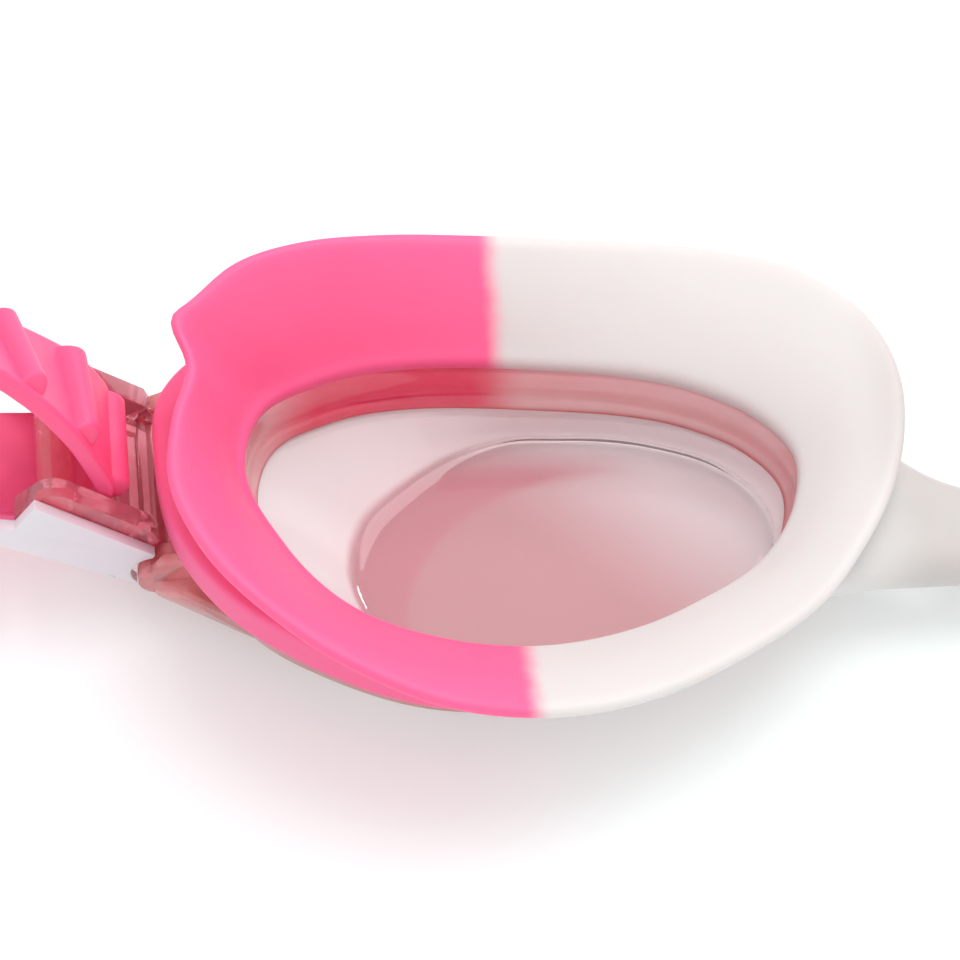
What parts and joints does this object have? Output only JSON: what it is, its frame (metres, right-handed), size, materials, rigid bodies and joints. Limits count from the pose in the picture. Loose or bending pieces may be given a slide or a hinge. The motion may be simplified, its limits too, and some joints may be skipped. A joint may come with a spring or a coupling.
{
  "type": "swim goggles",
  "caption": "Small swim goggles with clear lenses in rims, a two-colour silicone skirt and nose bridge, ratchet buckles with release levers and a ridged head strap.",
  "frame": {"origin": "centre of the box of the whole object, on the plane of the flat lens fronts", "axes": "+X is the wearer's right, +Y the brow side, +Z towards the wearer's face, so the goggles lie lens down on z = 0"},
  "size_m": [0.216, 0.1586, 0.0452],
  "materials": {
    "lens": "clear polycarbonate, faint pink tint, polished",
    "rim": "clear pink polycarbonate, moulded gloss",
    "buckle": "clear pink polycarbonate, moulded gloss",
    "lever": "white plastic, satin gloss",
    "pin": "clear pink polycarbonate, moulded gloss",
    "silicone_pink": "soft silicone, satin",
    "silicone_white": "soft silicone, satin, slightly translucent",
    "strap": "soft silicone, satin"
  },
  "bodies": {
    "frame": {"lens_right": "lens", "lens_left": "lens", "rim_right": "rim", "rim_left": "rim", "skirt_temple_right": "silicone_pink", "skirt_temple_left": "silicone_pink", "skirt_nose_bridge": "silicone_white", "hinge_pin_right": "pin", "hinge_pin_left": "pin", "strap": "strap"},
    "buckle_right": {"buckle_right": "buckle", "lever_pin_brow_right": "pin", "lever_pin_cheek_right": "pin"},
    "lever_right": {"release_lever_right": "lever"},
    "buckle_left": {"buckle_left": "buckle", "lever_pin_brow_left": "pin", "lever_pin_cheek_left": "pin"},
    "lever_left": {"release_lever_left": "lever"}
  },
  "joints": [
    {"name": "buckle_right_swivel", "type": "hinge", "parent": "frame", "child": "buckle_right", "pos_m": [0.0748, -0.04565, 0.0056], "axis": [0, -1, 0], "range_deg": [-30, 6], "deforming": ["strap"]},
    {"name": "lever_right_release", "type": "hinge", "parent": "buckle_right", "child": "lever_right", "pos_m": [0.083, -0.04565, 0.01182], "axis": [0, -1, 0], "range_deg": [0, 4], "stiffness_Nm_per_rad": 0.02, "springref_deg": -2.86, "deforming": ["strap"]},
    {"name": "buckle_left_swivel", "type": "hinge", "parent": "frame", "child": "buckle_left", "pos_m": [-0.0748, -0.04565, 0.0056], "axis": [0, 1, 0], "range_deg": [-30, 6], "deforming": ["strap"]},
    {"name": "lever_left_release", "type": "hinge", "parent": "buckle_left", "child": "lever_left", "pos_m": [-0.083, -0.04565, 0.01182], "axis": [0, 1, 0], "range_deg": [0, 4], "stiffness_Nm_per_rad": 0.02, "springref_deg": -2.86, "deforming": ["strap"]}
  ]
}
